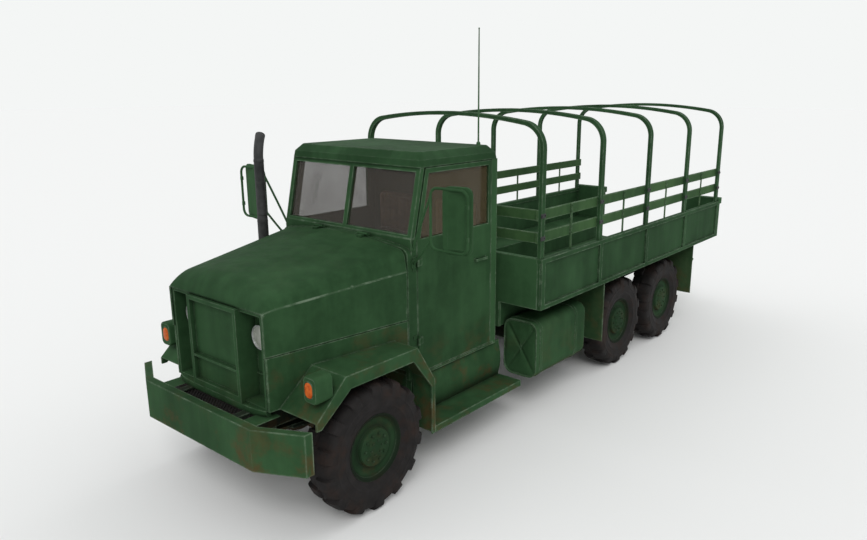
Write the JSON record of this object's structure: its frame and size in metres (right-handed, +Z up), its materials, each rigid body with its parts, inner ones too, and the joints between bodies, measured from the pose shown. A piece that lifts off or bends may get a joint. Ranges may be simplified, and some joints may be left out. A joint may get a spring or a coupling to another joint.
{
  "type": "military cargo truck",
  "caption": "Bonneted six-wheel-drive cargo truck with a two-seat cab, slatted open bed under roof bows and a rear ramp.",
  "frame": {"origin": "on the ground at the centre of the truck's outer box", "axes": "+Z up, +X to the truck's own left, the front faces -Y and the ramp +Y"},
  "size_m": [3, 8.6158, 3.93],
  "materials": {
    "body_paint": "matt green, worn",
    "frame_paint": "matt, dusty",
    "wheel_paint": "matt green, dusty",
    "tyre": "matt",
    "glass": "clear",
    "seat_cover": "woven",
    "cab_plastic": "satin",
    "dark_metal": "matt",
    "rubber": "matt",
    "headlamp_glass": "gloss",
    "orange_lens": "gloss",
    "red_lens": "gloss"
  },
  "bodies": {
    "chassis": {"antenna": "dark_metal", "axles": "frame_paint", "bed_bows": "body_paint", "bed_floor": "body_paint", "bed_front_wall": "body_paint", "bed_sides": "body_paint", "cab_back": "body_paint", "cab_cowl": "body_paint", "cab_floor": "body_paint", "cab_roof": "body_paint", "chassis_frame": "frame_paint", "door_hinges": "body_paint", "engine_and_driveline": "frame_paint", "exhaust_stack": "dark_metal", "front_bumper": "body_paint", "front_fenders": "body_paint", "front_rack": "body_paint", "fuel_tanks": "body_paint", "grille_shell": "body_paint", "headlamps": "headlamp_glass", "hood_hinges": "body_paint", "leaf_springs": "frame_paint", "mirrors": "dark_metal", "mud_plates": "rubber", "rear_panels": "body_paint", "seat_backs": "seat_cover", "seat_cushions": "seat_cover", "side_racks": "body_paint", "side_steps": "body_paint", "steering_column": "cab_plastic", "tail_lamps": "red_lens", "turn_lamps": "orange_lens", "windscreen_frame": "body_paint", "windscreen_glass": "glass"},
    "hood": {"hood": "body_paint"},
    "left_door": {"door_left": "body_paint", "door_glass_left": "glass"},
    "right_door": {"door_right": "body_paint", "door_glass_right": "glass"},
    "hand_wheel": {"steering_wheel": "cab_plastic"},
    "left_knuckle": {"steering_knuckle_left": "frame_paint"},
    "right_knuckle": {"steering_knuckle_right": "frame_paint"},
    "track_rod": {"tie_rod": "frame_paint"},
    "ramp": {"loading_ramp": "body_paint"},
    "front_left_wheel": {"tyre_front_left": "tyre", "wheel_front_left": "wheel_paint"},
    "front_right_wheel": {"tyre_front_right": "tyre", "wheel_front_right": "wheel_paint"},
    "middle_left_wheel": {"tyre_middle_left": "tyre", "wheel_middle_left": "wheel_paint"},
    "middle_right_wheel": {"tyre_middle_right": "tyre", "wheel_middle_right": "wheel_paint"},
    "rear_left_wheel": {"tyre_rear_left": "tyre", "wheel_rear_left": "wheel_paint"},
    "rear_right_wheel": {"tyre_rear_right": "tyre", "wheel_rear_right": "wheel_paint"}
  },
  "joints": [
    {"name": "front_left_spin", "type": "hinge", "parent": "left_knuckle", "child": "front_left_wheel", "pos_m": [0.939, -3.35086, 0.56], "axis": [1, 0, 0], "continuous": true},
    {"name": "front_right_spin", "type": "hinge", "parent": "right_knuckle", "child": "front_right_wheel", "pos_m": [-0.939, -3.35086, 0.56], "axis": [1, 0, 0], "continuous": true},
    {"name": "middle_left_spin", "type": "hinge", "parent": "chassis", "child": "middle_left_wheel", "pos_m": [0.939, 0.89914, 0.56], "axis": [1, 0, 0], "continuous": true},
    {"name": "middle_right_spin", "type": "hinge", "parent": "chassis", "child": "middle_right_wheel", "pos_m": [-0.939, 0.89914, 0.56], "axis": [1, 0, 0], "continuous": true},
    {"name": "rear_left_spin", "type": "hinge", "parent": "chassis", "child": "rear_left_wheel", "pos_m": [0.939, 2.17915, 0.56], "axis": [1, 0, 0], "continuous": true},
    {"name": "rear_right_spin", "type": "hinge", "parent": "chassis", "child": "rear_right_wheel", "pos_m": [-0.939, 2.17915, 0.56], "axis": [1, 0, 0], "continuous": true},
    {"name": "left_steer", "type": "hinge", "parent": "chassis", "child": "left_knuckle", "pos_m": [0.7, -3.35086, 0.56], "axis": [0, 0, 1], "range_deg": [-28, 28]},
    {"name": "right_steer", "type": "hinge", "parent": "chassis", "child": "right_knuckle", "pos_m": [-0.7, -3.35086, 0.56], "axis": [0, 0, 1], "range_deg": [-28, 28]},
    {"name": "track_rod_pivot", "type": "hinge", "parent": "left_knuckle", "child": "track_rod", "pos_m": [0.7, -3.12086, 0.454], "axis": [0, 0, 1], "range_deg": [-28, 28]},
    {"name": "hand_wheel_turn", "type": "hinge", "parent": "chassis", "child": "hand_wheel", "pos_m": [0.41, -2.34085, 2.035], "axis": [0, 0.6428, 0.766], "range_deg": [-504, 504]},
    {"name": "left_door_hinge", "type": "hinge", "parent": "chassis", "child": "left_door", "pos_m": [0.852, -2.58835, 1.5], "axis": [0, 0, -1], "range_deg": [0, 65]},
    {"name": "right_door_hinge", "type": "hinge", "parent": "chassis", "child": "right_door", "pos_m": [-0.852, -2.58835, 1.5], "axis": [0, 0, 1], "range_deg": [0, 65]},
    {"name": "hood_hinge", "type": "hinge", "parent": "chassis", "child": "hood", "pos_m": [0, -2.71335, 2.144], "axis": [-1, 0, 0], "range_deg": [0, 55]},
    {"name": "ramp_hinge", "type": "hinge", "parent": "chassis", "child": "ramp", "pos_m": [0, 3.69814, 0.968], "axis": [1, 0, 0], "range_deg": [0, 116.8]}
  ],
  "couplings": [
    {"joint": "right_steer", "follows": "left_steer", "ratio": 1},
    {"joint": "track_rod_pivot", "follows": "left_steer", "ratio": -1},
    {"joint": "hand_wheel_turn", "follows": "left_steer", "ratio": 18}
  ]
}
